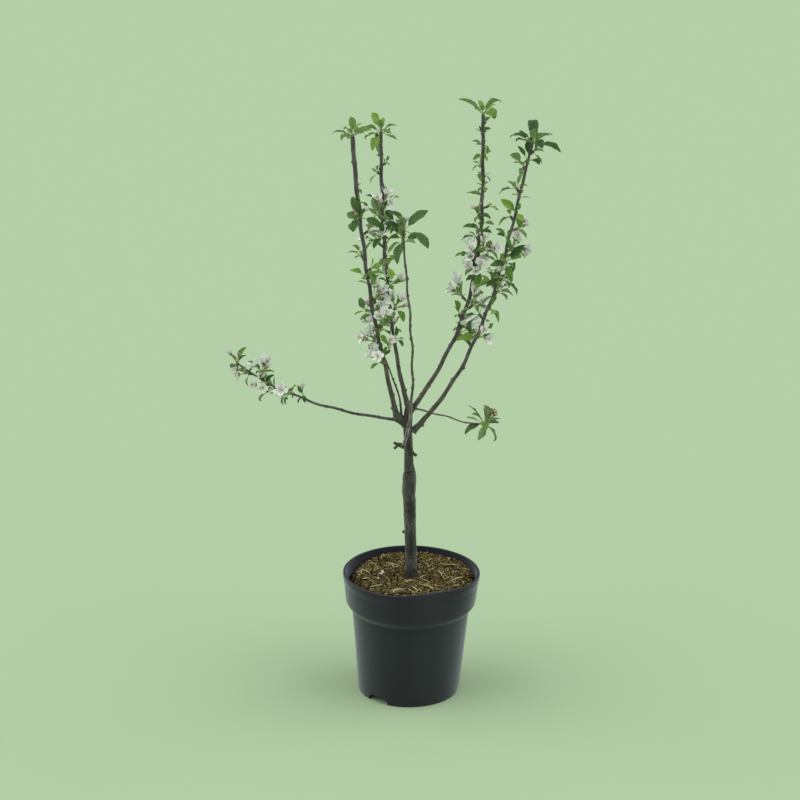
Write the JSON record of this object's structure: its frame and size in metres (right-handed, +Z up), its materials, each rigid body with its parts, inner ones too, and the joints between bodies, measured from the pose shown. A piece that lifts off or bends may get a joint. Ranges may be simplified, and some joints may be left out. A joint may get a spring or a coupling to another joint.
{
  "type": "dwarf apple tree in a pot",
  "caption": "Young dwarf apple tree with upright boughs, fresh leaves and white blossom, in a round black plastic nursery pot with potting mix.",
  "frame": {"origin": "on the pot's flat underside, below the trunk, 2.5 mm from the middle of the underside", "axes": "+Z up along the trunk, +X to the right and -Y to the front of the plant's main view"},
  "size_m": [0.5005, 0.2332, 0.9426],
  "materials": {
    "pot": "satin moulded",
    "potting_mix": "loose coir and bark fibre",
    "bark": "matt, rough",
    "young_bark": "matt, smooth",
    "foliage": "matt leaf",
    "blossom": "soft petal"
  },
  "bodies": {
    "root": {"pot": "pot", "potting_mix": "potting_mix", "trunk": "bark", "bough_left_front": "bark", "bough_left_back": "bark", "bough_right_back": "bark", "bough_right_front": "bark", "bough_middle": "young_bark", "bough_far_left": "bark", "bough_far_right": "young_bark", "bough_inner_left": "young_bark", "foliage_left_front": "foliage", "foliage_left_back": "foliage", "foliage_right_back": "foliage", "foliage_right_front": "foliage", "foliage_middle": "foliage", "foliage_far_left": "foliage", "foliage_far_right": "foliage", "foliage_inner_left": "foliage"}
  },
  "joints": []
}
